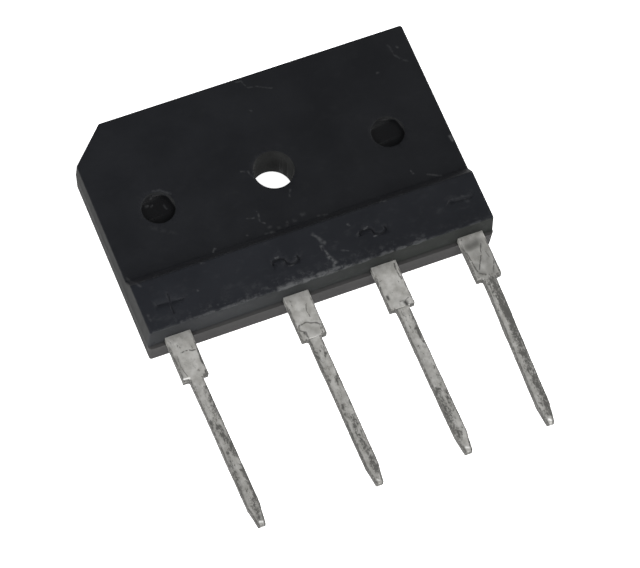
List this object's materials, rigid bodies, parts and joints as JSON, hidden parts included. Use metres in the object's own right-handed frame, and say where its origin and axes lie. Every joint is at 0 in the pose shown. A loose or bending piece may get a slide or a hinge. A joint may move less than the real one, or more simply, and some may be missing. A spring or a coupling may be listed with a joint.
{
  "type": "bridge rectifier",
  "caption": "Flat black bridge rectifier with a screw hole through its body, a raised strip, and a row of flat stepped leads along one side.",
  "frame": {"origin": "centre of the screw hole on the back face, which seats on the heat sink", "axes": "+Z out of the marked face along the screw hole, +X along the row of leads from the positive lead to the negative lead, leads pointing along -Y"},
  "size_m": [0.03, 0.0375, 0.0046],
  "materials": {
    "epoxy": "black filled epoxy, satin, faintly scuffed",
    "tinned_copper": "matt tin plating, stained and scratched",
    "bare_copper": "bare stamped copper",
    "silicon": "dark polished silicon",
    "solder": "reflowed solder"
  },
  "bodies": {
    "root": {"moulded_body": "epoxy", "positive_lead": "tinned_copper", "ac_lead_1": "tinned_copper", "ac_lead_2": "tinned_copper", "negative_lead": "tinned_copper", "diode_1": "silicon", "diode_2": "silicon", "diode_3": "silicon", "diode_4": "silicon", "diode_1_solder_below": "solder", "diode_2_solder_below": "solder", "diode_3_solder_below": "solder", "diode_4_solder_below": "solder", "diode_1_solder_above": "solder", "diode_2_solder_above": "solder", "diode_3_solder_above": "solder", "diode_4_solder_above": "solder", "clip_1": "bare_copper", "clip_2": "bare_copper", "clip_3": "bare_copper", "clip_4": "bare_copper", "clip_1_foot_solder": "solder", "clip_2_foot_solder": "solder", "clip_3_foot_solder": "solder", "clip_4_foot_solder": "solder"}
  },
  "joints": []
}
